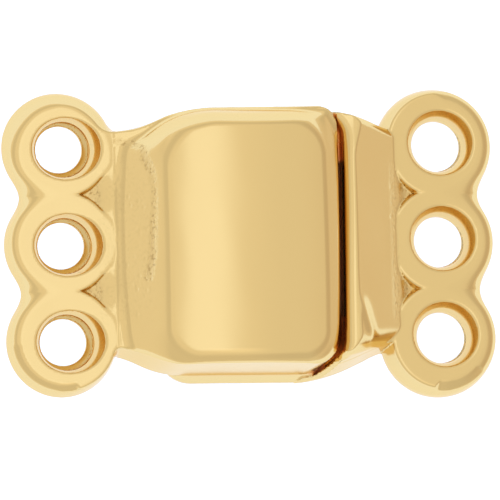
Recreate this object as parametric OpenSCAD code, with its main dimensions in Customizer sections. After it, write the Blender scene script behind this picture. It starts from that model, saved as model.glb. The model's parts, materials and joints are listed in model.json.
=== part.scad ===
// Three-strand magnetic clasp, shown closed and lying on its base plate.
// The cover half has its rings towards -X, the base half towards +X, and the clasp opens along +Z.

/* [Strand rings] */
// Distance between neighbouring strand holes on one half
strand_pitch = 4; // [3.9:0.05:4.2]
// Distance from the middle of the clasp to each row of strand holes
column_x = 7.95; // [7.9:0.05:8.1]
// Radius of the straight wall of a strand hole
hole_r = 1.1; // [0.9:0.05:1.15]
// Radius of a strand hole's countersunk rim
rim_r = 1.42; // [1.3:0.02:1.6]
// Depth of the countersink on the upper face
rim_depth = 0.5; // [0.2:0.05:0.6]
// Depth of the countersink on the lower face
foot_depth = 0.35; // [0.2:0.05:0.6]
// Outer radius of a ring at its widest
ring_r = 2.37; // [2.3:0.01:2.5]
// Outer radius of a ring's flat upper face
ring_face_r = 2.12; // [2.05:0.01:2.25]
// Thickness of the rings
ring_t = 1.7; // [1.5:0.1:2]
// Height of the bevel round a ring's upper face
bevel_h = 0.5; // [0.3:0.05:0.7]
// How far the metal between two rings reaches out, at the widest
web_reach = 1.7; // [1.5:0.05:1.9]
// How far it reaches out at the upper face
web_face_reach = 1.15; // [0.95:0.05:1.4]

/* [Base half] */
// Thickness of the base plate
plate_t = 1; // [0.8:0.05:1]
// Half of the base plate's width
plate_half_w = 5.62; // [5.56:0.02:5.8]
// Left end of the base plate
plate_x0 = -3.6; // [-4:0.05:-3.4]
// Radius of the base plate's left corners
plate_corner_r = 1.4; // [0.5:0.1:1.8]
// Half of the end wall's width at its top
end_wall_half_w = 5.1; // [5:0.02:5.2]
// Height of the end wall that faces the cover
end_wall_z = 4.35; // [4.1:0.05:4.5]
// Slope of the neck behind the end wall, in degrees
ramp_angle = 40; // [38:1:46]

/* [Cover half] */
// Height of the cover's crown above the table
crown_z = 5.3; // [5.2:0.05:5.6]
// Radius of the crown, along the clasp
crown_r = 11; // [9:0.5:20]
// Place of the crown's highest line
crown_x = -0.6; // [-0.9:0.1:-0.3]
// Left edge of the raised cover
cover_x0 = -4.25; // [-4.4:0.05:-4.1]
// Right edge of the raised cover, at the gap
cover_x1 = 3.24; // [3.1:0.02:3.3]
// Slope of the neck between the cover and its rings, in degrees
neck_angle = 48; // [44:1:52]
// Half of the cover's width
cover_half_w = 5.47; // [5.35:0.02:5.49]
// Radius of the cover's right corners, seen from above
cover_corner_r = 1.1; // [0.8:0.1:1.4]
// Height of the necks' feet, between the rings
neck_z = 2.4; // [2.2:0.05:2.5]
// Half of the neck's width beside the rings
neck_half_w = 4.34; // [4.2:0.02:4.4]
// Gap between the cover's right edge and the end wall
end_gap = 0.44; // [0.4:0.02:0.6]

/* [Inside] */
// Thickness of the cover's end wall
wall = 0.76; // [0.6:0.02:0.9]
// Half of the cavity's width under the cover
cavity_half_w = 4.4; // [4.2:0.05:4.5]
// Height of the cavity's roof, beside the magnet
cavity_z = 2.85; // [2.75:0.05:2.95]
// Top of the pedestal that stands in the cavity
pedestal_z = 2.6; // [2.5:0.05:2.65]
// Play all round the pedestal
play = 0.15; // [0.1:0.01:0.2]
// Half of each magnet's width
magnet_half_w = 3.15; // [2.8:0.05:3.2]
// Thickness of each magnet
magnet_t = 1.4; // [1.2:0.05:1.45]
// Glue gap round each magnet, and the gap under the cover
seat_gap = 0.05; // [0.03:0.01:0.08]

/* [Hidden] */
$fn = 64;
gold = "#e3c07e";
steel = "#8d8c88";
beyond = 1;
arc_steps = 8;
cover_foot_z = plate_t + seat_gap;
ring_z = cover_foot_z;
neck_end_x = column_x - 1;
// The neck widens from the rings to the cover along two equal arcs.
flare_start_x = -6.9;
flare_end_x = -2;
base_flare_start_x = 1.6;
base_flare_end_x = 6.9;
neck_fillet_r = 0.8;
left_edge_r = 0.6;
right_edge_r = 0.4;
side_lean = 0.1;
side_edge_r = 0.45;
side_crown_r = 40;
lip_r = 0.3;
ramp_fillet_r = 0.8;
underside_x = [4.4, 5.9];
end_wall_x = cover_x1 + end_gap;
pocket_corner_r = 1.6;
pocket_half_w = 5.55;
cavity_x0 = -3.2;
cavity_x1 = cover_x1 - wall;
cavity_corner_r = 0.6;
pedestal_x0 = cavity_x0 + play;
pedestal_x1 = cavity_x1 - play;
magnet_x0 = -2.65;
base_magnet_x1 = pedestal_x1 - seat_gap;
cover_magnet_x1 = cover_x1 - 3 * seat_gap;
cover_magnet_z = cavity_z - seat_gap;
window_z = 1.45;

// Points along an arc round c, from one angle to another.
function arc(c, r, from, to) =
    [for (i = [0:arc_steps]) let (a = from + (to - from) * i / arc_steps) c + r * [cos(a), sin(a)]];

// Two equal arcs that lead from p to q, level at both ends.
function flare(p, q) =
    let (run = q.x - p.x, rise = q.y - p.y, turn = 2 * atan(rise / run), r = run / (2 * sin(turn)))
    concat(
        [for (i = [0:arc_steps]) let (a = turn * i / arc_steps) p + r * [sin(a), 1 - cos(a)]],
        [for (i = [arc_steps - 1:-1:0]) let (a = turn * i / arc_steps) q - r * [sin(a), 1 - cos(a)]]
    );

// Points of a plan's upper half, then the same points below the middle line.
function both_sides(points) =
    concat(points, [for (i = [len(points) - 1:-1:0]) [points[i].x, -points[i].y]]);

// Points of an end view's right half, then the same points on the left.
function mirrored_points(points) =
    concat(points, [for (i = [len(points) - 1:-1:0]) [-points[i].x, points[i].y]]);

// Rounded rectangle that is centred across the clasp.
function rounded(x0, x1, half_w, r) =
    both_sides(concat(
        arc([x0 + r, half_w - r], r, 180, 90),
        arc([x1 - r, half_w - r], r, 90, 0)
    ));

// Centre of an edge rounding of radius r that touches the crown, at a given x.
function edge_centre(x, r) =
    [x, crown_z - crown_r + sqrt(pow(crown_r - r, 2) - pow(x - crown_x, 2))];

// Angle at which the crown is left for an edge rounding centred at c.
function crown_angle(c) = atan2(c.y - crown_z + crown_r, c.x - crown_x);

cover_outline = both_sides(concat(
    [[-neck_end_x, neck_half_w]],
    flare([flare_start_x, neck_half_w], [flare_end_x, cover_half_w]),
    arc([cover_x1 - cover_corner_r, cover_half_w - cover_corner_r], cover_corner_r, 90, 0)
));

left_edge = edge_centre(cover_x0 + left_edge_r, left_edge_r);
right_edge = edge_centre(cover_x1 - right_edge_r, right_edge_r);
neck_top = left_edge + left_edge_r * [-sin(neck_angle), cos(neck_angle)];
neck_foot_z = neck_z + neck_fillet_r * (1 - cos(neck_angle));
neck_foot = [neck_top.x - (neck_top.y - neck_foot_z) / tan(neck_angle), neck_foot_z];
neck_fillet = neck_foot + neck_fillet_r * [-sin(neck_angle), cos(neck_angle)];

// The cover half seen from the side, x against z.
cover_side = concat(
    [[cover_x1, cover_foot_z], [-column_x, cover_foot_z], [-column_x, neck_z]],
    arc(neck_fillet, neck_fillet_r, -90, neck_angle - 90),
    arc(left_edge, left_edge_r, 90 + neck_angle, crown_angle(left_edge)),
    arc([crown_x, crown_z - crown_r], crown_r, crown_angle(left_edge), crown_angle(right_edge)),
    arc(right_edge, right_edge_r, crown_angle(right_edge), 0)
);

// The cover half seen from its end, y against z.
side_top_w = cover_half_w - side_lean;
side_edge_y = side_top_w - side_edge_r;
side_edge_z = crown_z - side_crown_r + sqrt(pow(side_crown_r - side_edge_r, 2) - pow(side_edge_y, 2));
side_crown_angle = atan2(side_edge_z - crown_z + side_crown_r, side_edge_y);
side_crown_step = (90 - side_crown_angle) / (2 * arc_steps);
cover_end = mirrored_points(concat(
    [[cover_half_w, cover_foot_z]],
    arc([side_edge_y, side_edge_z], side_edge_r, 0, side_crown_angle),
    arc([0, crown_z - side_crown_r], side_crown_r, side_crown_angle, 90 - side_crown_step)
));

base_outline = both_sides(concat(
    arc([plate_x0 + plate_corner_r, plate_half_w - plate_corner_r], plate_corner_r, 180, 90),
    flare([base_flare_start_x, plate_half_w], [base_flare_end_x, neck_half_w])
));

lip = [end_wall_x + lip_r, end_wall_z - lip_r];
ramp_top = lip + lip_r * [sin(ramp_angle), cos(ramp_angle)];
ramp_foot_z = neck_z + ramp_fillet_r * (1 - cos(ramp_angle));
ramp_foot = [ramp_top.x + (ramp_top.y - ramp_foot_z) / tan(ramp_angle), ramp_foot_z];
ramp_fillet = ramp_foot + ramp_fillet_r * [sin(ramp_angle), cos(ramp_angle)];

// The base half seen from the side, x against z.
base_side = concat(
    [
        [plate_x0 - beyond, 0],
        [plate_x0 - beyond, plate_t],
        [pedestal_x1, plate_t],
        [pedestal_x1, end_wall_z]
    ],
    arc(lip, lip_r, 90, 90 - ramp_angle),
    arc(ramp_fillet, ramp_fillet_r, 270 - ramp_angle, 270),
    [
        [column_x, neck_z],
        [column_x, ring_z],
        [underside_x[1], ring_z],
        [underside_x[0], 0]
    ]
);

// The base half seen from its end, y against z, with the end wall leaning in.
base_end = mirrored_points([
    [plate_half_w + beyond, 0],
    [plate_half_w + beyond, plate_t],
    [plate_half_w, plate_t],
    [end_wall_half_w, end_wall_z]
]);

// A solid with a given side view, as wide as the clasp.
module from_side(points) {
    rotate([90, 0, 0])
        linear_extrude(4 * strand_pitch, center = true)
            polygon(points);
}

// A solid with a given end view, as long as the clasp.
module from_end(points) {
    rotate([90, 0, 90])
        linear_extrude(4 * column_x, center = true)
            polygon(points);
}

// A solid with a given plan, from z0 up to z1.
module from_above(points, z0, z1) {
    translate([0, 0, z0])
        linear_extrude(z1 - z0)
            polygon(points);
}

module ring_blank() {
    rotate_extrude()
        polygon([
            [0, 0],
            [ring_r - bevel_h / 2, 0],
            [ring_r, bevel_h / 2],
            [ring_r, ring_t - bevel_h],
            [ring_face_r, ring_t],
            [0, ring_t]
        ]);
}

// Metal between two rings of radius r, filled out to reach beyond the line of their centres.
module ring_web(r, reach, height) {
    overlap = 0.02;
    half_pitch = strand_pitch / 2;
    fillet_r = (reach * reach + half_pitch * half_pitch - r * r) / (2 * (r - reach));
    fillet_x = reach + fillet_r;
    fillet_a = atan2(half_pitch, -fillet_x);
    linear_extrude(height)
        polygon(concat(
            [[-reach / 2, -half_pitch], [-reach / 2, half_pitch], [0, half_pitch]],
            arc([fillet_x, 0], fillet_r + overlap, fillet_a, 360 - fillet_a),
            [[0, -half_pitch]]
        ));
}

// Three rings in a row on the +X side, without their holes.
module ring_row() {
    translate([column_x, 0, ring_z]) {
        for (i = [-1:1])
            translate([0, i * strand_pitch, 0])
                ring_blank();
        for (i = [-0.5, 0.5])
            translate([0, i * strand_pitch, 0]) {
                ring_web(ring_r, web_reach, ring_t - bevel_h);
                ring_web(ring_face_r, web_face_reach, ring_t);
            }
    }
}

// The three strand holes on the +X side, countersunk from both faces.
module strand_holes() {
    for (i = [-1:1])
        translate([column_x, i * strand_pitch, ring_z])
            rotate_extrude()
                polygon([
                    [0, -beyond],
                    [rim_r, -beyond],
                    [rim_r, 0],
                    [hole_r, foot_depth],
                    [hole_r, ring_t - rim_depth],
                    [rim_r, ring_t],
                    [rim_r, ring_t + beyond],
                    [0, ring_t + beyond]
                ]);
}

module base_half() {
    color(gold)
        difference() {
            union() {
                difference() {
                    intersection() {
                        from_above(base_outline, 0, end_wall_z);
                        from_side(base_side);
                        from_end(base_end);
                    }
                    from_above(
                        rounded(plate_x0 - 2 * beyond, end_wall_x, pocket_half_w, pocket_corner_r),
                        plate_t,
                        crown_z
                    );
                }
                from_above(
                    rounded(pedestal_x0, pedestal_x1, cavity_half_w - play, cavity_corner_r - play),
                    plate_t / 2,
                    pedestal_z
                );
                ring_row();
            }
            strand_holes();
            base_magnet_slot();
        }
}

// Slot in the pedestal's top, open towards the end wall so that the magnet slides in.
module base_magnet_slot() {
    translate([magnet_x0 - seat_gap, -magnet_half_w - seat_gap, pedestal_z - magnet_t - seat_gap])
        cube([cavity_x1 - magnet_x0 + seat_gap, 2 * (magnet_half_w + seat_gap), crown_z]);
}

module cover_half() {
    color(gold)
        difference() {
            union() {
                intersection() {
                    from_above(cover_outline, cover_foot_z, crown_z);
                    from_side(cover_side);
                    from_end(cover_end);
                }
                mirror([1, 0, 0])
                    ring_row();
            }
            mirror([1, 0, 0])
                strand_holes();
            from_above(rounded(cavity_x0, cavity_x1, cavity_half_w, cavity_corner_r), 0, cavity_z);
            cover_magnet_slot();
        }
}

// Slot above the cavity for the magnet, and the window in the end wall that it slides in through.
module cover_magnet_slot() {
    width = 2 * (magnet_half_w + seat_gap);
    roof_z = cover_magnet_z + magnet_t + seat_gap;
    translate([magnet_x0 - seat_gap, -width / 2, cavity_z - beyond])
        cube([cover_x1 - magnet_x0 + beyond, width, roof_z - cavity_z + beyond]);
    translate([0, -width / 2, window_z])
        cube([cover_x1 + beyond, width, cavity_z - window_z]);
}

module base_magnet() {
    color(steel)
        translate([magnet_x0, -magnet_half_w, pedestal_z - magnet_t])
            cube([base_magnet_x1 - magnet_x0, 2 * magnet_half_w, magnet_t]);
}

module cover_magnet() {
    color(steel)
        translate([magnet_x0, -magnet_half_w, cover_magnet_z])
            cube([cover_magnet_x1 - magnet_x0, 2 * magnet_half_w, magnet_t]);
}

base_half();
cover_half();
base_magnet();
cover_magnet();
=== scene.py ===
# Three-strand magnetic clasp, closed, lying on a pale table and seen from almost straight above.
# The castings are worked out in millimetres and put into the scene in metres.
import json
import math

import bpy
import numpy as np
from mathutils import Matrix, Vector


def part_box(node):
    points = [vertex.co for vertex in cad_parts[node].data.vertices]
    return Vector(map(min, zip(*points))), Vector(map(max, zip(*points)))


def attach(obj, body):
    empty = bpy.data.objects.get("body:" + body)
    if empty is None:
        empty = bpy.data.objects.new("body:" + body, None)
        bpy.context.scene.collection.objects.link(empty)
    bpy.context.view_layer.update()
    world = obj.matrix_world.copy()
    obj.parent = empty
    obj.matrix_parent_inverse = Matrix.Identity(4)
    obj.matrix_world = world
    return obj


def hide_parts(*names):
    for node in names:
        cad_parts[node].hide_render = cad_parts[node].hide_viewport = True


mm = 0.001
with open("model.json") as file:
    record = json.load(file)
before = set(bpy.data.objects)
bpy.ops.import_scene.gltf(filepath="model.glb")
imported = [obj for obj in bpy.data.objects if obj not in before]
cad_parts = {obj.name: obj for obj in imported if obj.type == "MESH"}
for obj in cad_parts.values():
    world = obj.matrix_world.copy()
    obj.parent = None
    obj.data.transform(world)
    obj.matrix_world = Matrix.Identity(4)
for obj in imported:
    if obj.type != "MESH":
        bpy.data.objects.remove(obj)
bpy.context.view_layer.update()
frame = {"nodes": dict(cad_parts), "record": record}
record = frame["record"]
print("frame loaded:", sorted(frame["nodes"]))


# Solids are put together from fields: a field is a distance in millimetres, negative inside the metal.
# What differs between the near side and the far side goes from one to the other over twice this width.
sideBlend = 2


def roundBoth(a, b, radius):
    # what lies in both, with the edge between them rounded over
    outside = np.hypot(np.maximum(a + radius, 0), np.maximum(b + radius, 0))
    return np.minimum(-radius, np.maximum(a, b)) + outside


def roundEither(a, b, radius):
    # the two joined, with a hollow fillet of that radius between them
    return -roundBoth(-a, -b, radius)


def roundCut(a, b, radius):
    # a with b taken out of it, and its rim rounded over
    return roundBoth(a, -b, radius)


def softMin(a, b, width):
    share = np.clip(0.5 + 0.5 * (b - a) / width, 0, 1)
    return b + (a - b) * share - width * share * (1 - share)


def smoothStep(low, high, value):
    t = np.clip((value - low) / (high - low), 0, 1)
    return t * t * (3 - 2 * t)


def inBand(value, low, high, soft):
    return smoothStep(low - soft, low + soft, value) * (1 - smoothStep(high - soft, high + soft, value))


def between(pair, share):
    return pair[0] + (pair[1] - pair[0]) * share


def twinArcs(low, high, value):
    # 0 to 1 along two equal arcs, level at both ends
    t = np.clip((value - low) / (high - low), 0, 1)
    return np.where(t < 0.5, 2 * t * t, 1 - 2 * (1 - t) * (1 - t))


def slopeField(across, up, run, rise):
    # a straight slope through (0, 0) that goes out by run as it falls by rise
    return (across * rise + up * run) / np.hypot(run, rise)


def boxField(x, y, z, x0, x1, half, z0, z1, edge):
    sides = roundBoth(np.maximum(x0 - x, x - x1), np.abs(y) - half, edge)
    return roundBoth(sides, np.maximum(z0 - z, z - z1), edge)


def farSide(y):
    # 0 along the near side of the clasp, 1 along the far side
    return smoothStep(-sideBlend, sideBlend, y)


# The strand rings, three at each end. Pairs are for the cover and for the base, unless said otherwise.
rings = {
    "outerRadius": (2.35, 2.44),
    "outerEdge": 0.35,
    "outerRun": (-0.2, 0.5),  # where a ring's outer side begins, from its middle
    "faceRadius": (2.12, 2.18),
    "faceShrink": (0.44, 0.0),  # how much narrower the face is on the far side of the first ring
    "shrinkRun": (-1.2, 1.4),  # where that comes in, from the first ring's middle
    "faceZ": 2.75,
    "faceSlope": (0.1, 0.055),  # how the faces fall away outwards
    "faceEdge": (0.12, 0.4),  # beside the neck, and on the outer side
    "shrunkEdge": 0.5,  # what the outer edge loses for each millimetre the face is narrower
    "bevelDrop": (0.78, 0.5),
    "footZ": 1.05,
    "footEdge": (0.6, 0.3),
    "facet": ((-2.2, 1.15, 1.8), (-1.2, 0.8, 1.85)),  # filed on the near rings: bearing, spread, start
    "facetSlope": 0.66,
    "facetEdge": 0.04,
    "facetFade": (0.35, 1.2, 9),  # angle before and after its end where it lifts away, and how far
    "faceWeb": (0.16, 0.65),  # how far the face fills the corners between rings, over what stretch
    "lowWeb": (0.05, 1.15),  # how softly the rings join below it: beside the neck, and outside
    "lowWebDepth": (0.05, 0.6),
    "pocketDepth": (0.4, 0.34),  # the low corners between the rings and the neck
    "pocketAcross": (0.6, 1.9),  # from each ring's middle
    "pocketAlong": (5.5, 7.0),
    "leastFillet": 0.05,
    "filletRun": (0.7, 1.6),  # from each ring's middle to where the fillet is least
    "skirtRun": (4.2, 5.0),
    "rimRadius": ((1.46, 1.32), (1.42, 1.39)),  # along and across the clasp
    "rimShift": ((0.25, -0.1), (0.09, 0.08)),
    "rimSlope": (0.2, 0.3),
    "rimEdge": 0.07,
    "upperBore": ((1.15, 1.06), 1.5, 0.95),  # radius, then how it narrows below a depth
    "upperShift": ((0.15, -0.07), (0.07, 0.0)),
    "lowerRadius": (0.96, 1.04),
    "lowerShift": ((0.09, -0.02), (0.05, 0.03)),
    "footRim": (0.32, 0.35),
    "boreEdges": (0.2, 0.15, 0.03),  # rim to upper bore, lower bore to its rim, bore to bore
}


def holePlaces(side):
    found = [m for m in record["mounts"] if m["kind"] == "bore" and m["pos_m"][0] * side > 0]
    return [(m["pos_m"][0] / mm, m["pos_m"][1] / mm) for m in found]


def faceHeight(x, side):
    return rings["faceZ"] - rings["faceSlope"][side > 0] * (x - holePlaces(side)[0][0]) * side


def ringReach(y, z, away, places, faceZ, outside):
    # distance from the nearest ring's middle, with the corners between the rings filled in
    r = rings
    middles = [(one[1] + two[1]) / 2 for one, two in zip(places, places[1:])]
    fromMiddle = np.minimum.reduce([np.abs(y - middle) for middle in middles])
    fill, run = r["faceWeb"]
    sharp = np.minimum.reduce(away) - outside * fill * np.clip(1 - fromMiddle / run, 0, 1) ** 2
    width = between(r["lowWeb"], outside)
    soft = softMin(softMin(away[0], away[1], width), away[2], width)
    return between((sharp, soft), smoothStep(*r["lowWebDepth"], faceZ - z))


def facetField(x, y, z, away, place, faceZ, isBase):
    bearing, spread, start = rings["facet"][isBase]
    before, after, lift = rings["facetFade"]
    turned = np.abs(np.arctan2(y - place[1], x - place[0]) - bearing)
    turned = np.minimum(turned, 2 * math.pi - turned)
    facet = slopeField(away - start, z - faceZ, 1, rings["facetSlope"])
    return facet - lift * smoothStep(spread - before, spread + after, turned)


def ringRow(x, y, z, side):
    r = rings
    isBase = side > 0
    places = holePlaces(side)
    faceZ = faceHeight(x, side)
    away = [np.hypot(x - holeX, y - holeY) for holeX, holeY in places]
    outside = smoothStep(*r["outerRun"], (x - places[0][0]) * side)
    reach = ringReach(y, z, away, places, faceZ, outside)
    shrunk = r["faceShrink"][isBase] * smoothStep(*r["shrinkRun"], y - places[0][1])
    outer, inner = r["outerRadius"][isBase], r["faceRadius"][isBase] - shrunk
    bevel = slopeField(reach - inner, z - faceZ, outer - inner, r["bevelDrop"][isBase])
    metal = roundBoth(reach - outer, bevel, r["outerEdge"])
    neckEdge, outerEdge = r["faceEdge"]
    metal = roundBoth(metal, z - faceZ, between((neckEdge, outerEdge - r["shrunkEdge"] * shrunk), outside))
    metal = roundBoth(metal, facetField(x, y, z, away[-1], places[-1], faceZ, isBase), r["facetEdge"])
    return roundBoth(metal, r["footZ"] - z, r["footEdge"][isBase]), faceZ


def strandHoles(metal, x, y, z, side, faceZ):
    # each hole is bored from both faces, and the two bores don't quite meet
    r = rings
    isBase = side > 0
    rimX, rimY = r["rimRadius"][isBase]
    shiftX, shiftY = r["rimShift"][isBase]
    radii, taper, bored = r["upperBore"]
    (upX, upY), (downX, downY) = r["upperShift"][isBase], r["lowerShift"][isBase]
    sinkEdge, footEdge, meetEdge = r["boreEdges"]
    deep = faceZ - z
    for holeX, holeY in holePlaces(side):
        rim = (np.hypot((x - holeX - shiftX) / rimX, (y - holeY - shiftY) / rimY) - 1) * rimX
        sink = slopeField(rim, deep, *r["rimSlope"])
        upper = np.hypot(x - holeX - upX, y - holeY - upY) - radii[isBase] + taper * np.maximum(deep - bored, 0)
        lower = np.hypot(x - holeX - downX, y - holeY - downY) - r["lowerRadius"][isBase]
        foot = slopeField(lower - r["footRim"][0], z - r["footZ"], *r["footRim"])
        hole = roundEither(roundEither(sink, upper, sinkEdge), roundEither(lower, foot, footEdge), meetEdge)
        metal = roundCut(metal, hole, r["rimEdge"])
    return metal


def offMiddle(y, places):
    return np.minimum.reduce([np.abs(y - holeY) for _, holeY in places])


def groundHeight(x, y, side):
    # level with the ring faces beside each ring, and lower in the corners between them
    r = rings
    across = smoothStep(*r["pocketAcross"], offMiddle(y, holePlaces(side)))
    along = smoothStep(*r["pocketAlong"], x * side)
    return faceHeight(x, side) - r["pocketDepth"][side > 0] * (across * along)


def ringFillet(y, places, radius, skirt):
    # wide beside each ring, next to nothing in the corners between them, a skirt at both ends of the row
    r = rings
    fillet = between((r["leastFillet"], radius), 1 - smoothStep(*r["filletRun"], offMiddle(y, places)))
    return between((fillet, between(skirt, farSide(y))), smoothStep(*r["skirtRun"], np.abs(y)))


# Hand polish: the worked surfaces are never quite true.
polish = {
    "waves": (  # turn for each millimetre along, across and up, and start
        (2.1, 0.4, 0.3, 0.0), (-0.5, 1.7, 0.8, 1.3), (1.3, -1.1, -0.6, 2.9),
        (0.3, 2.6, 1.4, 4.2), (3.3, 1.2, 0.9, 5.1),
    ),
    "height": 0.0014,
}


def polished(metal, x, y, z):
    for alongX, alongY, alongZ, start in polish["waves"]:
        metal = metal + polish["height"] * np.sin(alongX * x + alongY * y + alongZ * z + start)
    return metal


# The cover half. Pairs are for the near side and the far side, unless said otherwise.
# What is called a run is where, along the clasp, one shape gives way to the next.
cover = {
    "space": ((-10.7, -6.6, 0.8), (3.6, 6.6, 5.6)),
    "footZ": 1.05,
    "footEdge": 0.12,
    "ringHalf": (4.5, 4.78),  # half width beside the rings, and beside the dome
    "domeHalf": (5.39, 5.59),
    "flare": ((-6.5, -2.9), (-6.1, -1.5)),
    "sideSlope": (0.11, (0.05, 0.03)),  # how far the sides lean in, at the neck and at the dome
    "sideRun": (-5.0, -3.4),
    "neckEndX": -7.15,
    "neckSlope": 1.05,
    "neckEdge": (0.12, (0.7, 1.3)),
    "neckEdgeRun": (-5.8, -4.4),
    "slabEdge": 0.1,  # the low block under the neck, and the fillet above it
    "slabFillet": 0.2,
    "crestX": -4.05,  # where the neck's slope meets the dome's crown, and how high
    "crestZ": 4.63,
    "crestHalf": 5.75,
    "crestCorner": (1.9, 2.5),
    "crestEdge": 0.04,
    "crownX": -0.6,
    "crownZ": 5.3,
    "crownRadius": 11.0,
    "acrossRadius": 40.0,
    "creaseX": (-4.02, 2.95),  # the soft crease that frames the crown
    "creaseHalf": (4.98, 4.9),
    "creaseCorner": ((1.4, 2.2), (1.1, 1.5)),
    "creaseCornerRun": (-1.5, 1.5),
    "creaseDrop": (0.36, 0.72),  # how far inside it the crown starts to fall, and how fast
    "creaseWidth": (0.42, (0.47, 0.66), 0.28),  # over what width: left, near and far, right
    "creaseRuns": ((-4.0, -3.0), (1.8, 3.0)),
    "domeEdge": (0.07, 0.36),
    "domeEdgeRun": (-3.6, -2.2),
    "rightX": (3.39, 0.02),  # and how it slants
    "rightCorner": (1.1, 0.8),
    "rightEdge": 0.14,
    "rightEdgeRun": (-0.9, -0.3),  # from the end
    "cornerEdge": (0.12, (3.5, 4.4), (1.8, 2.6)),  # more on its near corner: from where across, and along
    "ringFillet": 0.3,
    "skirt": (0.3, 0.4),
    "cap": (-5.75, 1.4, 0.08),  # the ring faces' plane: where it starts to rise over the neck, slope, edge
    "cavity": (-3.2, 2.48, 4.4, -1, 2.85, 0.3),  # left, right, half width, bottom, top, corner
    "slot": (-2.7, 2.85, 3.2, 2, 4.25, 0.05),
    "window": (0, 6, 3.2, 1.45, 3.85, 0.05),
    "insideEdge": 0.1,
    "rough": (  # where the neck's rough surface stops below the dome
        (-5.6, 4.15), (-5.1, 4.1), (-4.7, 3.85), (-4.6, 3.3), (-4.35, 2.7), (-4.25, 2.2),
        (-4.3, 1.2), (-4.37, 0.3), (-4.42, -0.7), (-4.6, -1.6),
    ),
    "roughGroove": (0.08, 0.004),
}
slantStretch = (-4.5, 3.2)  # the part of the gap that runs slightly askew


def awayFromPath(x, y, path):
    nearest = np.full(np.shape(x), np.inf)
    for (startX, startY), (stopX, stopY) in zip(path, path[1:]):
        alongX, alongY = stopX - startX, stopY - startY
        share = ((x - startX) * alongX + (y - startY) * alongY) / (alongX ** 2 + alongY ** 2)
        share = np.clip(share, 0, 1)
        nearest = np.minimum(nearest, np.hypot(x - startX - share * alongX, y - startY - share * alongY))
    return nearest


def slantedEnd(x, y, place):
    return x - place[0] - place[1] * np.clip(y, *slantStretch)


def creaseField(x, y, far):
    # a rounded oblong in plan with four different corners, negative inside
    c = cover
    low, high = c["creaseX"]
    near, away = c["creaseHalf"]
    leftCorner, rightCorner = [between(pair, far) for pair in c["creaseCorner"]]
    corner = between((leftCorner, rightCorner), smoothStep(*c["creaseCornerRun"], x))
    outX = np.abs(x - (low + high) / 2) - (high - low) / 2 + corner
    outY = np.abs(y - (away - near) / 2) - (away + near) / 2 + corner
    return np.hypot(np.maximum(outX, 0), np.maximum(outY, 0)) + np.minimum(np.maximum(outX, outY), 0) - corner


def crownField(x, y, z, far, dip):
    # a shallow dome that bends down as it crosses the crease
    c = cover
    crown = z - c["crownZ"] + (x - c["crownX"]) ** 2 / (2 * c["crownRadius"]) + dip
    start, rate = c["creaseDrop"]
    past = np.maximum(creaseField(x, y, far) + start, 0)
    left, middle, right = c["creaseWidth"]
    leftRun, rightRun = c["creaseRuns"]
    width = between((left, between(middle, far)), smoothStep(*leftRun, x))
    bent = np.minimum(past, between((width, right), smoothStep(*rightRun, x)))
    return (crown + rate * bent * (2 * past - bent)) / np.sqrt(1 + (2 * rate * bent) ** 2)


def neckField(x, y, z, far, dip):
    c = cover
    outline = roundBoth(np.abs(y) - c["crestHalf"], c["crestX"] - x, between(c["crestCorner"], far))
    width, depth = c["roughGroove"]
    groove = depth * np.exp(-(awayFromPath(x, y, c["rough"]) / width) ** 2)
    return slopeField(outline, z - c["crestZ"] + dip, 1, c["neckSlope"]) + groove


def coverSide(x, y, z, far):
    c = cover
    flared = between([twinArcs(*flare, x) for flare in c["flare"]], far)
    neckLean, domeLean = c["sideSlope"]
    lean = between((neckLean, between(domeLean, far)), smoothStep(*c["sideRun"], x))
    half = between((between(c["ringHalf"], far), between(c["domeHalf"], far)), flared)
    return np.abs(y) - half + lean * (z - c["footZ"])


def coverMetal(x, y, z):
    c = cover
    far = farSide(y)
    side = coverSide(x, y, z, far)
    dip = y ** 2 / (2 * c["acrossRadius"])
    nearEdge, farEdge = c["neckEdge"]
    neckEdge = between((nearEdge, between(farEdge, smoothStep(*c["neckEdgeRun"], x))), far)
    metal = roundBoth(side, neckField(x, y, z, far, dip), neckEdge)
    end = slantedEnd(x, y, c["rightX"])
    rightEnd = roundBoth(side, end, between(c["rightCorner"], far))
    edge = between((c["crestEdge"], between(c["domeEdge"], far)), smoothStep(*c["domeEdgeRun"], x))
    edge = between((edge, c["rightEdge"]), smoothStep(*c["rightEdgeRun"], end))
    more, across, along = c["cornerEdge"]
    edge = edge + more * smoothStep(*across, -y) * smoothStep(*along, x)
    metal = roundBoth(np.maximum(metal, rightEnd), crownField(x, y, z, far, dip), edge)
    slab = roundBoth(side, z - groundHeight(x, y, -1), c["slabEdge"])
    metal = roundEither(metal, slab, c["slabFillet"])
    metal = np.maximum.reduce([metal, c["neckEndX"] - x, rightEnd])
    metal = roundBoth(metal, c["footZ"] - z, c["footEdge"])
    ringPart, faceZ = ringRow(x, y, z, -1)
    metal = roundEither(metal, ringPart, ringFillet(y, holePlaces(-1), c["ringFillet"], c["skirt"]))
    start, rise, soft = c["cap"]
    metal = roundBoth(metal, z - faceZ - rise * np.maximum(x - start, 0), soft)
    metal = polished(metal, x, y, z)
    metal = strandHoles(metal, x, y, z, -1, faceZ)
    for hollow in ("cavity", "slot", "window"):
        metal = roundCut(metal, boxField(x, y, z, *c[hollow]), c["insideEdge"])
    return metal


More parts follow.
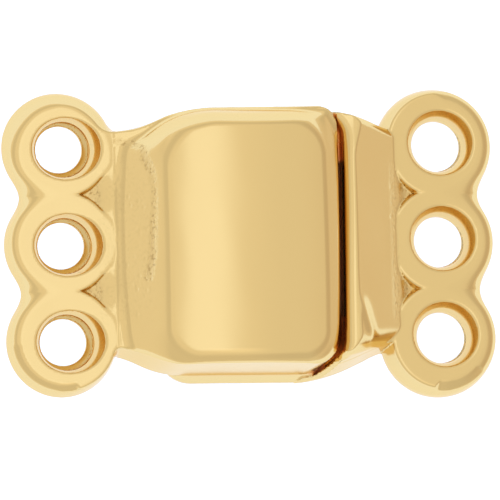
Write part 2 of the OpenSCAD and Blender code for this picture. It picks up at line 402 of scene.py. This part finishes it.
# The base half, with pairs as for the cover.
base = {
    "space": ((-4.0, -6.6, -0.3), (10.7, 6.6, 4.7)),
    "footEdge": 0.15,
    "plateZ": 1.0,
    "plateX": -3.7,
    "plateCorner": 1.4,
    "plateRim": (0.36, 1.3, (2.3, 3.1)),  # width of its sloping rim, how steep, and where it stops
    "plateEdge": 0.06,
    "plateFillet": 0.1,
    "footHalf": (5.65, 4.34),  # half width beside the plate, and beside the rings
    "flare": ((1.8, 7.2), (2.1, 8.5)),
    "sideSlope": (0.15, 0.1),
    "wrap": (2.1, 1.4, 3.2, 3.4),  # where the block rises beside the cover, its run, bend and height
    "wrapLimit": 1.2,
    "wrapEdge": 0.1,
    "wallX": (3.58, 0.015),
    "wallZ": 4.35,
    "crestX": (4.09, 0.012, -1),  # and how it widens along the near side, from where
    "crestEdge": 0.05,
    "lipSlope": (0.03, 0.15),
    "lipEdge": 0.46,
    "lipFall": (0.28, (3.2, 5.2)),  # how far the crest falls away at its far end
    "rampSlope": 0.76,
    "rampFoot": 0.05,
    "rampCorner": (0.7, 0.3),
    "ridge": ((4.28, -2.6), (4.85, -4.5)),  # a filed ridge down the near side of the slope
    "ridgeSize": (0.2, 0.05),
    "ridgeFade": (0.0, 0.95, 0.2),
    "slabEdge": 0.1,
    "neckEndX": 7.15,
    "recess": ((5.42, 5.08), (1.2, 0.85)),  # half width and corner
    "recessZ": 0.7,
    "recessEdge": 0.1,
    "coverGap": (0.03, 0.05),  # and the edge it leaves
    "gapDepth": 0.35,  # the least
    "gapFloors": (2.75, 2.9),  # above recessZ, in the middle and at the ends of the gap
    "gapChange": (3.05, 3.2),
    "underX": (4.4, 5.9),
    "underFillet": 0.2,
    "pedestal": (-3.05, 2.33, 4.25, 0.5, 2.6, 0.2),
    "pedestalFillet": 0.1,
    "slot": (-2.7, 2.48, 3.2, 1.15, 6, 0.05),
    "insideEdge": 0.08,
    "ringFillet": 0.03,
}


def recessField(x, y):
    half, corner = base["recess"]
    far = farSide(y)
    return roundBoth(slantedEnd(x, y, base["wallX"]), np.abs(y) - between(half, far), between(corner, far))


def coverPlan(x, y, z):
    # the cover's outline at that height, at the end the base wraps round
    c = cover
    far = farSide(y)
    side = np.abs(y) - between(c["domeHalf"], far) + between(c["sideSlope"][1], far) * (z - c["footZ"])
    return roundBoth(side, slantedEnd(x, y, c["rightX"]), between(c["rightCorner"], far))


def ridgeHeight(x, y):
    start, stop = base["ridge"]
    width, height = base["ridgeSize"]
    alongX, alongY = stop[0] - start[0], stop[1] - start[1]
    length = math.hypot(alongX, alongY)
    share = ((x - start[0]) * alongX + (y - start[1]) * alongY) / length ** 2
    off = ((x - start[0]) * alongY - (y - start[1]) * alongX) / length
    return height * np.exp(-(off / width) ** 2) * inBand(share, *base["ridgeFade"])


def wedgeField(x, y, z, upper, far):
    # the end wall with its crest, and the ramp that leads down from it to the rings
    b = base
    crestX, widen, start = b["crestX"]
    crestX = crestX + widen * np.maximum(start - y, 0) ** 2
    ramp = slopeField(x - crestX, z - b["wallZ"], 1, b["rampSlope"]) - ridgeHeight(x, y)
    fall, stretch = b["lipFall"]
    crestZ = b["wallZ"] - between(b["lipSlope"], far) * np.maximum(crestX - x, 0) - fall * smoothStep(*stretch, y)
    wedge = roundBoth(upper, ramp, between(b["rampCorner"], far))
    return roundBoth(wedge, z - crestZ, b["crestEdge"])


def roomForCover(raised, x, y, z):
    # the block wraps round the cover's end, with a gap in front of its wall
    b = base
    start, run, bend, height = b["wrap"]
    wrapped = height * np.clip((x - start) / run, 0, b["wrapLimit"]) ** bend
    raised = roundBoth(np.maximum(raised, start - x), z - b["plateZ"] - wrapped, b["wrapEdge"])
    highest = between(b["gapFloors"], smoothStep(*b["gapChange"], np.abs(y)))
    floor = b["recessZ"] + np.clip(wrapped - b["gapDepth"], 0, highest)
    raised = roundCut(raised, roundBoth(recessField(x, y), floor - z, b["recessEdge"]), b["lipEdge"])
    room, edge = b["coverGap"]
    return roundCut(raised, coverPlan(x, y, z) - room, edge)


def baseMetal(x, y, z):
    b = base
    far = farSide(y)
    flared = between([twinArcs(*flare, x) for flare in b["flare"]], far)
    side = np.abs(y) - between(b["footHalf"], flared)
    upper = side + between(b["sideSlope"], far) * np.maximum(z - b["plateZ"], 0)
    plate = roundBoth(side, b["plateX"] - x, b["plateCorner"])
    width, steep, stop = b["plateRim"]
    rim = slopeField(plate + width * (1 - smoothStep(*stop, x)), z - b["plateZ"], 1, steep)
    plate = np.maximum(roundBoth(plate, rim, b["plateEdge"]), z - b["plateZ"])
    slab = roundBoth(upper, z - groundHeight(x, y, 1), b["slabEdge"])
    raised = roundEither(wedgeField(x, y, z, upper, far), slab, b["rampFoot"])
    raised = roomForCover(np.maximum(raised, x - b["neckEndX"]), x, y, z)
    metal = roundEither(raised, np.maximum(plate, x - b["neckEndX"]), b["plateFillet"])
    under = slopeField(x - b["underX"][0], -z, rings["footZ"], b["underX"][1] - b["underX"][0])
    under = roundEither(under, rings["footZ"] - z, b["underFillet"])
    metal = roundBoth(metal, under, b["underFillet"])
    metal = roundBoth(metal, -z, b["footEdge"])
    ringPart, faceZ = ringRow(x, y, z, 1)
    metal = roundEither(metal, ringPart, b["ringFillet"])
    metal = polished(metal, x, y, z)
    metal = strandHoles(metal, x, y, z, 1, faceZ)
    metal = roundEither(metal, boxField(x, y, z, *b["pedestal"]), b["pedestalFillet"])
    return roundCut(metal, boxField(x, y, z, *b["slot"]), b["insideEdge"])


# How a field is made a mesh.
casting = {
    "step": 0.078,
    "quickStep": 0.12,
    "passes": 4,  # how often each point is drawn back to the surface
    "longestMove": 0.5,  # each time, in steps
    "leastSlope": 0.05,  # below this, squared, a slope is not trusted
    "slopeReach": 0.01,
}


def shiftedCells(spots, b, c, stepB, stepC):
    cells = spots.copy()
    cells[:, b] += stepB
    cells[:, c] += stepC
    return tuple(cells.T)


def netOverField(field, low, high, step):
    # one point in every cell that the surface passes through, joined in squares
    low = np.array(low, float)
    axes = [np.arange(a, h + step, step) for a, h in zip(low, high)]
    value = field(*np.meshgrid(*axes, indexing="ij"))
    cellShape = tuple(n - 1 for n in value.shape)
    total = np.zeros((*cellShape, 3))
    count = np.zeros(cellShape)
    crossed = []
    for a in range(3):
        b, c = (a + 1) % 3, (a + 2) % 3
        here = tuple(slice(0, -1) if i == a else slice(None) for i in range(3))
        there = tuple(slice(1, None) if i == a else slice(None) for i in range(3))
        first, second = value[here], value[there]
        hit = (first < 0) != (second < 0)
        spots = np.argwhere(hit)
        where = spots.astype(float)
        where[:, a] += first[hit] / (first[hit] - second[hit])
        for stepB in (0, -1):
            for stepC in (0, -1):
                cells = shiftedCells(spots, b, c, stepB, stepC)
                np.add.at(total, cells, where)
                np.add.at(count, cells, 1)
        crossed.append((b, c, spots, first[hit] < 0))
    used = count > 0
    number = np.full(cellShape, -1)
    number[used] = np.arange(used.sum())
    points = low + step * total[used] / count[used][:, None]
    quads = []
    for b, c, spots, leaving in crossed:
        ring = [number[shiftedCells(spots, b, c, i, j)] for i, j in ((0, 0), (-1, 0), (-1, -1), (0, -1))]
        quad = np.stack(ring, 1)
        quad[~leaving] = quad[~leaving][:, ::-1]
        quads.append(quad)
    return points, np.concatenate(quads)


def fieldSlope(field, points):
    reach = casting["slopeReach"]
    slope = np.zeros_like(points)
    for a in range(3):
        ahead, behind = points.copy(), points.copy()
        ahead[:, a] += reach
        behind[:, a] -= reach
        slope[:, a] = (field(*ahead.T) - field(*behind.T)) / (2 * reach)
    return slope


def unitRows(rows):
    return rows / np.maximum(np.linalg.norm(rows, axis=1), 1e-9)[:, None]


def castMesh(name, field, space, step, marks):
    points, quads = netOverField(field, *space, step)
    longest = casting["longestMove"] * step
    for _ in range(casting["passes"]):
        slope = fieldSlope(field, points)
        size = np.maximum((slope ** 2).sum(1), casting["leastSlope"])
        move = slope * (field(*points.T) / size)[:, None]
        length = np.linalg.norm(move, axis=1)
        points -= move * np.minimum(1, longest / np.maximum(length, 1e-9))[:, None]
    normals = unitRows(fieldSlope(field, points))
    mesh = bpy.data.meshes.new(name)
    mesh.from_pydata((points * mm).tolist(), [], quads.tolist())
    for mark, values in marks(points, normals).items():
        mesh.attributes.new(mark, "FLOAT", "POINT").data.foreach_set("value", values)
    mesh.update()
    piece = bpy.data.objects.new(name, mesh)
    bpy.context.scene.collection.objects.link(piece)
    print("cast", name, len(points), "points", len(quads), "faces")
    return piece, normals


# Where a casting is shut away from the polishing wheel, and where it is left rough. The shut-away places are left
# matt and also get painted shade, a darker orange: in the cover's hollow, on the end walls in the gap and on
# undersides.
# Three numbers are a band's two ends and its softness, two are where a mark comes in. A turn is part of the normal.
coverPlaces = {
    "insideX": (-3.3, 3.3, 0.05),
    "insideY": (-1, 4.55, 0.05),
    "insideTop": (4.3, 4.35),
    "insideTurn": (0.1, 0.3),
    "endX": (3.1, 3.2),
    "endZ": (1.2, 3.9, 0.1),
    "endTurn": (0.5, 0.8),
    "belowTop": (1.2, 1.4),
    "belowTurn": (0.5, 0.9),
    "neckX": (-6.6, -4.3, 0.2),
    "neckY": (-3.4, 3.6, 0.8),
    "neckZ": (2.2, 4.6, 0.1),
    "neckTurn": (0.3, 0.6),
    "neckShare": 0.12,
    "lineReach": (0.04, 0.22),
    "cornerX": (-7.3, -5.9, 0.1),
    "cornerTop": (2.6, 2.72),
}
basePlaces = {
    "recessReach": (0.01, 0.06),
    "recessY": (-5.35, 5.12, 0.12),
    "recessZ": (0.9, 3.9, 0.12),
    "gapShine": 0.75,  # how far the ends of the gap are polished after all, which also takes the painted shade off there
    "gapX": (2.9, 3.2),
    "gapY": (2.6, 4.4),
    "belowTurn": (0.5, 0.9),
    "cornerX": (6.0, 7.3, 0.1),
    "cornerZ": (1.8, 2.68, 0.05),
    "footX": (5.8, 6.1, 0.1),
    "footY": (-3.2, 3.2, 0.5),
    "footTurn": (0.3, 0.6),
    "footShare": 0.4,
}
ringPitch = 4
cornerHalf = (-1, 0.8, 0.1)  # a rough corner's half width, and its softness


def cornerAcross(y):
    return inBand(np.abs(np.abs(y) - ringPitch / 2), *cornerHalf)


def coverMarks(points, normals):
    p = coverPlaces
    x, y, z = points.T
    inside = inBand(x, *p["insideX"]) * inBand(np.abs(y), *p["insideY"]) * (1 - smoothStep(*p["insideTop"], z))
    inside = inside * (1 - smoothStep(*p["insideTurn"], normals[:, 2]))
    endWall = smoothStep(*p["endTurn"], normals[:, 0]) * smoothStep(*p["endX"], x) * inBand(z, *p["endZ"])
    below = smoothStep(*p["belowTurn"], -normals[:, 2]) * (1 - smoothStep(*p["belowTop"], z))
    onNeck = smoothStep(*p["neckTurn"], normals[:, 2]) * inBand(x, *p["neckX"]) * inBand(z, *p["neckZ"])
    line = 1 - smoothStep(*p["lineReach"], awayFromPath(x, y, cover["rough"]))
    corners = inBand(x, *p["cornerX"]) * cornerAcross(y) * (1 - smoothStep(*p["cornerTop"], z))
    rough = onNeck * (p["neckShare"] * inBand(y, *p["neckY"]) + line) + corners
    # the recess mark: matt, and painted shade in the hollow, on the end wall facing the gap and on the undersides
    return {"recess": np.maximum.reduce([inside, endWall, below]), "grain": np.clip(rough, 0, 1)}


def baseMarks(points, normals):
    p = basePlaces
    x, y, z = points.T
    # painted shade: the walls of the gap round the cover are left matt and painted the darker orange recess colour,
    # and so are the undersides
    shut = 1 - smoothStep(*p["recessReach"], recessField(x, y))
    shut = shut * inBand(z, *p["recessZ"]) * inBand(y, *p["recessY"])
    shut = shut * (1 - p["gapShine"] * smoothStep(*p["gapY"], np.abs(y) * smoothStep(*p["gapX"], x)))
    below = smoothStep(*p["belowTurn"], -normals[:, 2])
    corners = inBand(x, *p["cornerX"]) * cornerAcross(y) * inBand(z, *p["cornerZ"])
    foot = inBand(x, *p["footX"]) * smoothStep(*p["footTurn"], normals[:, 2]) * inBand(y, *p["footY"])
    return {"recess": np.maximum(shut, below), "grain": np.clip(corners + p["footShare"] * foot, 0, 1)}


# Casting grain: pits and pimples scattered where the surface is left as cast.
grain = {
    "perSquareMm": 26.0,
    "apart": 0.06,
    "radius": 0.1,
    "height": 0.015,
    "tall": (-1.0, 0.55),  # from the deepest pit to the highest pimple, as shares of the height
    "seed": 7,
    "tallSeed": 3,
    "leastMove": 0.00005,  # past which a point counts as moved
}


def addNode(tree, kind, settings=None, **inputs):
    node = tree.nodes.new(kind)
    for name, value in (settings or {}).items():
        setattr(node, name, value)
    for name, value in inputs.items():
        socket = node.inputs[int(name[1:])] if name[1:].isdigit() else node.inputs[name.replace("_", " ")]
        if isinstance(value, bpy.types.NodeSocket):
            tree.links.new(value, socket)
        else:
            socket.default_value = value
    return node


def linkMath(tree, operation, *values):
    inputs = {f"i{i}": value for i, value in enumerate(values)}
    return addNode(tree, "ShaderNodeMath", {"operation": operation}, **inputs).outputs[0]


def vectorMath(tree, operation, *values, output="Vector", **more):
    inputs = {f"i{i}": value for i, value in enumerate(values)}
    return addNode(tree, "ShaderNodeVectorMath", {"operation": operation}, **inputs, **more).outputs[output]


def mixColour(tree, share, first, second, **settings):
    settings = {"data_type": "RGBA", **settings}
    return addNode(tree, "ShaderNodeMix", settings, Factor=share, i6=first, i7=second).outputs[2]


def startTree(name, sizes):
    tree = bpy.data.node_groups.new(name, "GeometryNodeTree")
    tree.is_modifier = True
    tree.interface.new_socket("Geometry", in_out="INPUT", socket_type="NodeSocketGeometry")
    tree.interface.new_socket("Geometry", in_out="OUTPUT", socket_type="NodeSocketGeometry")
    for size, kind in sizes:
        tree.interface.new_socket(size, in_out="INPUT", socket_type=kind)
    return tree, tree.nodes.new("NodeGroupInput").outputs


def endTree(tree, geometry):
    real = addNode(tree, "GeometryNodeRealizeInstances", Geometry=geometry)
    dressed = addNode(tree, "GeometryNodeSetMaterial", Geometry=real.outputs[0])
    tree.links.new(tree.nodes["Group Input"].outputs["Finish"], dressed.inputs["Material"])
    out = tree.nodes.new("NodeGroupOutput")
    tree.links.new(dressed.outputs[0], out.inputs[0])


def grainTree():
    floats = [(name, "NodeSocketFloat") for name in ("Density", "Apart", "Radius", "Height")]
    tree, given = startTree("castGrain", floats + [("Seed", "NodeSocketInt"), ("Finish", "NodeSocketMaterial")])
    mask = addNode(tree, "GeometryNodeInputNamedAttribute", {"data_type": "FLOAT"}, Name="grain")
    seeds = addNode(
        tree, "GeometryNodeDistributePointsOnFaces", {"distribute_method": "POISSON"},
        Mesh=given["Geometry"], Distance_Min=given["Apart"], Density_Max=given["Density"],
        Density_Factor=mask.outputs["Attribute"], Seed=given["Seed"],
    )
    low, high = grain["tall"]
    chance = addNode(
        tree, "FunctionNodeRandomValue", {"data_type": "FLOAT"}, Min=low, Max=high, Seed=grain["tallSeed"],
    )
    stored = addNode(
        tree, "GeometryNodeStoreNamedAttribute", {"data_type": "FLOAT", "domain": "POINT"},
        Geometry=seeds.outputs["Points"], Name="tall", Value=chance.outputs[1],
    )
    nearest = addNode(tree, "GeometryNodeSampleNearest", {"domain": "POINT"}, Geometry=stored.outputs[0])
    here = addNode(tree, "GeometryNodeInputPosition").outputs[0]
    tall = addNode(tree, "GeometryNodeInputNamedAttribute", {"data_type": "FLOAT"}, Name="tall")
    place, tallHere = [
        addNode(
            tree, "GeometryNodeSampleIndex", {"data_type": kind, "domain": "POINT"},
            Geometry=stored.outputs[0], Value=value, Index=nearest.outputs[0],
        ).outputs[0]
        for kind, value in (("FLOAT_VECTOR", here), ("FLOAT", tall.outputs["Attribute"]))
    ]
    bell = addNode(
        tree, "ShaderNodeMapRange", {"interpolation_type": "SMOOTHSTEP"},
        Value=vectorMath(tree, "DISTANCE", here, place, output="Value"),
        From_Min=0.0, From_Max=given["Radius"], To_Min=1.0, To_Max=0.0,
    )
    rise = linkMath(tree, "MULTIPLY", linkMath(tree, "MULTIPLY", bell.outputs[0], tallHere), given["Height"])
    push = vectorMath(tree, "SCALE", addNode(tree, "GeometryNodeInputNormal").outputs[0], Scale=rise)
    moved = addNode(tree, "GeometryNodeSetPosition", Geometry=given["Geometry"], Offset=push)
    endTree(tree, moved.outputs[0])
    return tree


def runTree(piece, tree, values):
    # one modifier, its inputs set by identifier, made into a plain mesh and taken off again
    modifier = piece.modifiers.new(tree.name, "NODES")
    modifier.node_group = tree
    for item in tree.interface.items_tree:
        if item.in_out == "INPUT" and item.name in values:
            modifier[item.identifier] = values[item.name]
    bpy.context.view_layer.update()
    made = piece.evaluated_get(bpy.context.evaluated_depsgraph_get())
    mesh = bpy.data.meshes.new_from_object(made)
    piece.modifiers.remove(modifier)
    old, piece.data = piece.data, mesh
    mesh.name = piece.name
    bpy.data.meshes.remove(old)


def readRows(collection, key, width):
    rows = np.empty(len(collection) * width, np.float32)
    collection.foreach_get(key, rows)
    return rows.reshape(-1, width).astype(float)


def roughen(piece, normals, tree, finish):
    # grain on the marked places, and the field's own normals everywhere else
    before = readRows(piece.data.vertices, "co", 3)
    runTree(piece, tree, {
        "Density": grain["perSquareMm"] / mm ** 2, "Apart": grain["apart"] * mm,
        "Radius": grain["radius"] * mm, "Height": grain["height"] * mm, "Seed": grain["seed"], "Finish": finish,
    })
    mesh = piece.data
    mesh.polygons.foreach_set("use_smooth", np.ones(len(mesh.polygons), bool))
    mesh.update()
    moved = np.linalg.norm(readRows(mesh.vertices, "co", 3) - before, axis=1) > grain["leastMove"] * mm
    spread = moved.copy()
    edges = np.array([edge.vertices[:] for edge in mesh.edges])
    touching = moved[edges].any(1)
    spread[edges[touching].ravel()] = True
    ownNormals = readRows(mesh.vertex_normals, "vector", 3)
    mesh.normals_split_custom_set_from_vertices(np.where(spread[:, None], ownNormals, normals).tolist())
    print("roughened", piece.name, int(moved.sum()), "points")


# The finishes. A noise is given by its scale and its detail.
gold = {
    "polishedColour": (0.80, 0.575, 0.242),
    "grazingTint": (0.97, 0.86, 0.66),
    # painted shade: a darker orange given to the recess mark, standing in for the shade in the gap, in the hollow
    # and under the castings
    "recessShadeColour": (0.86, 0.42, 0.2),
    "pitColour": (0.36, 0.2, 0.06),
    "polishedRoughness": 0.15,
    "grainRoughness": 0.3,
    "recessRoughness": 0.5,
    "haze": (900.0, 3.0),
    "hazeDepth": 0.03,
    "scuffs": (5200.0, 2.0),
    "scuffHeight": 0.0000006,
    "pores": (7800.0, 2.0),
    "poreHeight": 0.00002,
    "poreCut": (0.52, 0.68),
    "poreShade": 0.5,
}


def mark(tree, name):
    return addNode(tree, "ShaderNodeAttribute", {"attribute_name": name}).outputs["Fac"]


def noise(tree, scale, detail):
    place = addNode(tree, "ShaderNodeTexCoord").outputs["Object"]
    return addNode(tree, "ShaderNodeTexNoise", Vector=place, Scale=scale, Detail=detail).outputs["Fac"]


def ease(tree, value, low, high, level=1.0):
    return addNode(
        tree, "ShaderNodeMapRange", {"interpolation_type": "SMOOTHSTEP"},
        Value=value, From_Min=low, From_Max=high, To_Max=level,
    ).outputs[0]


def metalMaterial(name):
    material = bpy.data.materials.new(name)
    material.use_nodes = True
    shader = material.node_tree.nodes["Principled BSDF"]
    shader.inputs["Metallic"].default_value = 1.0
    return material, material.node_tree, shader


def goldFinish():
    g = gold
    material, tree, shader = metalMaterial("polishedGoldPlate")
    shader.inputs["Specular Tint"].default_value = (*g["grazingTint"], 1)
    recess, rough = mark(tree, "recess"), mark(tree, "grain")
    haze, pore, scuff = noise(tree, *g["haze"]), noise(tree, *g["pores"]), noise(tree, *g["scuffs"])
    shade = linkMath(tree, "MULTIPLY", rough, g["poreShade"])
    pitted = linkMath(tree, "MULTIPLY", ease(tree, pore, *g["poreCut"]), shade)
    # painted shade: where the recess mark is, the gold is turned a darker orange; the rougher finish set below is
    # the real matt of unpolished places
    colour = mixColour(tree, recess, (*g["polishedColour"], 1), (*g["recessShadeColour"], 1))
    tree.links.new(mixColour(tree, pitted, colour, (*g["pitColour"], 1)), shader.inputs["Base Color"])
    polishedTo = g["polishedRoughness"]
    worn = linkMath(tree, "MULTIPLY_ADD", haze, g["hazeDepth"] * 2, polishedTo - g["hazeDepth"])
    worn = linkMath(tree, "MULTIPLY_ADD", rough, g["grainRoughness"] - polishedTo, worn)
    worn = linkMath(tree, "MULTIPLY_ADD", recess, g["recessRoughness"] - polishedTo, worn)
    tree.links.new(worn, shader.inputs["Roughness"])
    scuffs = linkMath(tree, "MULTIPLY", scuff, g["scuffHeight"])
    pores = linkMath(tree, "MULTIPLY", pore, linkMath(tree, "MULTIPLY", rough, -g["poreHeight"]))
    height = linkMath(tree, "ADD", scuffs, pores)
    bump = addNode(tree, "ShaderNodeBump", Height=height, Distance=1.0, Strength=1.0)
    tree.links.new(bump.outputs[0], shader.inputs["Normal"])
    return material


nickel = {
    "colour": (0.52, 0.51, 0.48),
    "roughness": 0.32,
    "satin": (2600.0, 3.0),
    "satinDepth": 0.06,
}


def nickelFinish():
    n = nickel
    material, tree, shader = metalMaterial("satinNickelPlate")
    shader.inputs["Base Color"].default_value = (*n["colour"], 1)
    satin, depth = noise(tree, *n["satin"]), n["satinDepth"]
    dull = linkMath(tree, "MULTIPLY_ADD", satin, depth * 2, n["roughness"] - depth)
    tree.links.new(dull, shader.inputs["Roughness"])
    return material


def dress(piece, body, node):
    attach(piece, body)
    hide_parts(node)


castings = {
    "coverCasting": (coverMetal, cover["space"], coverMarks, "cover", "cover_half"),
    "baseCasting": (baseMetal, base["space"], baseMarks, "base", "base_half"),
}
castStep = casting["step"]
goldPlate = goldFinish()
grainNodes = grainTree()
for name, (field, space, marks, body, node) in castings.items():
    cast, castNormals = castMesh(name, field, space, castStep, marks)
    roughen(cast, castNormals, grainNodes, goldPlate)
    dress(cast, body, node)


# The magnets: two pressed blocks with softened edges, each with its body, its node and how far it stops
# short of the CAD's at the end wall, where the cover's is kept clear of the lip over the window.
magnets = {
    "baseMagnetBlock": ("base", "base_magnet", 0.0),
    "coverMagnetBlock": ("cover", "cover_magnet", 0.45),
}
magnetEdge = 0.18
magnetCuts = 14


def blockTree():
    # a block is drawn in to an inner box and pushed out again by the edge radius
    vectors = [(name, "NodeSocketVector") for name in ("Middle", "Size")]
    rest = [("Edge", "NodeSocketFloat"), ("Cuts", "NodeSocketInt"), ("Finish", "NodeSocketMaterial")]
    tree, given = startTree("pressedBlock", vectors + rest)
    block = addNode(tree, "GeometryNodeMeshCube", Size=given["Size"])
    for axis in "XYZ":
        tree.links.new(given["Cuts"], block.inputs["Vertices " + axis])
    half = vectorMath(tree, "SCALE", given["Size"], Scale=0.5)
    edge = addNode(tree, "ShaderNodeCombineXYZ", X=given["Edge"], Y=given["Edge"], Z=given["Edge"]).outputs[0]
    inner = vectorMath(tree, "SUBTRACT", half, edge)
    here = addNode(tree, "GeometryNodeInputPosition").outputs[0]
    core = vectorMath(tree, "MINIMUM", here, inner)
    core = vectorMath(tree, "MAXIMUM", core, vectorMath(tree, "SCALE", inner, Scale=-1.0))
    out = vectorMath(tree, "NORMALIZE", vectorMath(tree, "SUBTRACT", here, core))
    out = vectorMath(tree, "SCALE", out, Scale=given["Edge"])
    place = vectorMath(tree, "ADD", vectorMath(tree, "ADD", core, out), given["Middle"])
    moved = addNode(tree, "GeometryNodeSetPosition", Geometry=block.outputs[0], Position=place)
    smooth = addNode(tree, "GeometryNodeSetShadeSmooth", Geometry=moved.outputs[0])
    endTree(tree, smooth.outputs[0])
    return tree


nickelPlate = nickelFinish()
blockNodes = blockTree()
for name, (body, node, short) in magnets.items():
    low, high = [Vector(corner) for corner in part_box(node)]
    high.x -= short * mm
    block = bpy.data.objects.new(name, bpy.data.meshes.new(name))
    bpy.context.scene.collection.objects.link(block)
    runTree(block, blockNodes, {
        "Middle": (low + high) / 2, "Size": high - low, "Edge": magnetEdge * mm, "Cuts": magnetCuts,
        "Finish": nickelPlate,
    })
    dress(block, body, node)
print("magnets ready")


# The studio: a pale table in a light tent. Four numbers are where a band starts, is full, starts to end, stops.
studio = {
    "tableSize": 1.2,
    "tableZ": -0.02,
    "tableGlow": (0.85, 1.0, 1.3),
    "tableColour": (0.3, 0.3, 0.3),
    "tableRoughness": 0.9,
    "skyBands": ((0.0, 1.0), (0.14, 0.98), (0.3, 0.82), (0.52, 0.82), (0.74, 0.98), (1.0, 0.98)),
    "leastUp": 0.05,
    "panelAlong": (-0.36, -0.25, -0.08, 0.19),  # the bright panel
    "panelAcross": (-0.6, -0.25, 0.35, 0.7),
    "panelGain": (0.22, 0.3, 0.46),
    "rightDim": (0.12, 0.45, 0.06),
    "horizonDim": (0.5, 0.95),
    "horizonLoss": (0.06, 0.12, 0.16),
    "glowAlong": (-0.25, -0.05, 0.15, 0.4),  # a smaller one on the near side
    "glowAcross": (0.16, 0.34, 0.6, 0.9),
    "glowGain": 0.12,
}


def makeTable():
    half = studio["tableSize"] / 2
    mesh = bpy.data.meshes.new("table")
    corners = [(-half, -half), (half, -half), (half, half), (-half, half)]
    mesh.from_pydata([(x, y, studio["tableZ"] * mm) for x, y in corners], [], [(0, 1, 2, 3)])
    table = bpy.data.objects.new("table", mesh)
    bpy.context.scene.collection.objects.link(table)
    material = bpy.data.materials.new("paleTable")
    material.use_nodes = True
    shader = material.node_tree.nodes["Principled BSDF"]
    shader.inputs["Base Color"].default_value = (*studio["tableColour"], 1)
    shader.inputs["Roughness"].default_value = studio["tableRoughness"]
    shader.inputs["Specular IOR Level"].default_value = 0.0
    shader.inputs["Emission Color"].default_value = (*studio["tableGlow"], 1)
    shader.inputs["Emission Strength"].default_value = 1.0
    mesh.materials.append(material)


def band(tree, value, edges):
    return linkMath(tree, "SUBTRACT", ease(tree, value, *edges[:2]), ease(tree, value, *edges[2:]))


def makeWorld():
    # the light tent: an even white sky, dimmer in a belt half way down, with one brighter panel overhead
    s = studio
    world = bpy.data.worlds.new("lightTent")
    world.use_nodes = True
    bpy.context.scene.world = world
    tree = world.node_tree
    toward = addNode(tree, "ShaderNodeTexCoord").outputs["Generated"]
    along, across, up = addNode(tree, "ShaderNodeSeparateXYZ", Vector=toward).outputs
    sky = tree.nodes.new("ShaderNodeValToRGB")
    sky.color_ramp.interpolation = "EASE"
    tree.links.new(up, sky.inputs[0])
    stops = sky.color_ramp.elements
    for place, level in s["skyBands"]:
        stop = stops.new(place) if 0 < place < 1 else stops[0 if place == 0 else len(stops) - 1]
        stop.color = (level, level, level, 1)
    height = linkMath(tree, "MAXIMUM", up, s["leastUp"])
    alongPlace, acrossPlace = linkMath(tree, "DIVIDE", along, height), linkMath(tree, "DIVIDE", across, height)
    nearPlace = linkMath(tree, "DIVIDE", across, linkMath(tree, "MULTIPLY", height, -1.0))
    panel = linkMath(
        tree, "MULTIPLY", band(tree, alongPlace, s["panelAlong"]), band(tree, acrossPlace, s["panelAcross"]),
    )
    lit = mixColour(tree, panel, sky.outputs[0], (*s["panelGain"], 1), blend_type="ADD")
    glow = linkMath(
        tree, "MULTIPLY", band(tree, alongPlace, s["glowAlong"]), band(tree, nearPlace, s["glowAcross"]),
    )
    dim = ease(tree, along, *s["rightDim"])
    gain = linkMath(tree, "SUBTRACT", linkMath(tree, "MULTIPLY", glow, s["glowGain"]), dim)
    lit = mixColour(tree, gain, lit, (1, 1, 1, 1), blend_type="ADD", clamp_factor=False)
    horizon = ease(tree, along, *s["horizonDim"])
    shaded = mixColour(tree, horizon, lit, (*s["horizonLoss"], 1), blend_type="SUBTRACT")
    tree.links.new(shaded, tree.nodes["Background"].inputs["Color"])


# A long lens that looks down from a little to the left and to the near side.
camera = {
    "tilt": (0.185, 0.11),  # how far to the left and to the near side, per unit of height
    "roll": 1.55,
    "lens": 600,
    "sensor": 36,
    "clip": (0.01, 10),
    "imageSize": 500,
    "pixelsPerMm": 24.2,
    "centre": (252.7, 241.45),  # where the clasp's origin falls in the picture
    "focusZ": 2.75,
}


def makeCamera():
    c = camera
    data = bpy.data.cameras.new("studioCamera")
    data.lens, data.sensor_width = c["lens"], c["sensor"]
    data.clip_start, data.clip_end = c["clip"]
    lens = bpy.data.objects.new("studioCamera", data)
    bpy.context.scene.collection.objects.link(lens)
    roll = math.radians(c["roll"])
    back = Vector((-c["tilt"][0], -c["tilt"][1], 1)).normalized()
    right = Vector((math.sin(roll), math.cos(roll), 0)).cross(back).normalized()
    up = back.cross(right)
    distance = c["imageSize"] / c["pixelsPerMm"] * mm * c["lens"] / c["sensor"]
    shiftX = (c["imageSize"] / 2 - c["centre"][0]) / c["pixelsPerMm"] * mm
    shiftY = (c["centre"][1] - c["imageSize"] / 2) / c["pixelsPerMm"] * mm
    place = Vector((0, 0, c["focusZ"] * mm)) + right * shiftX + up * shiftY + back * distance
    lens.matrix_world = Matrix.Translation(place) @ Matrix((right, up, back)).transposed().to_4x4()
    bpy.context.scene.camera = lens


makeTable()
makeWorld()
makeCamera()
bpy.context.scene.view_settings.view_transform = "Standard"
print("studio ready")
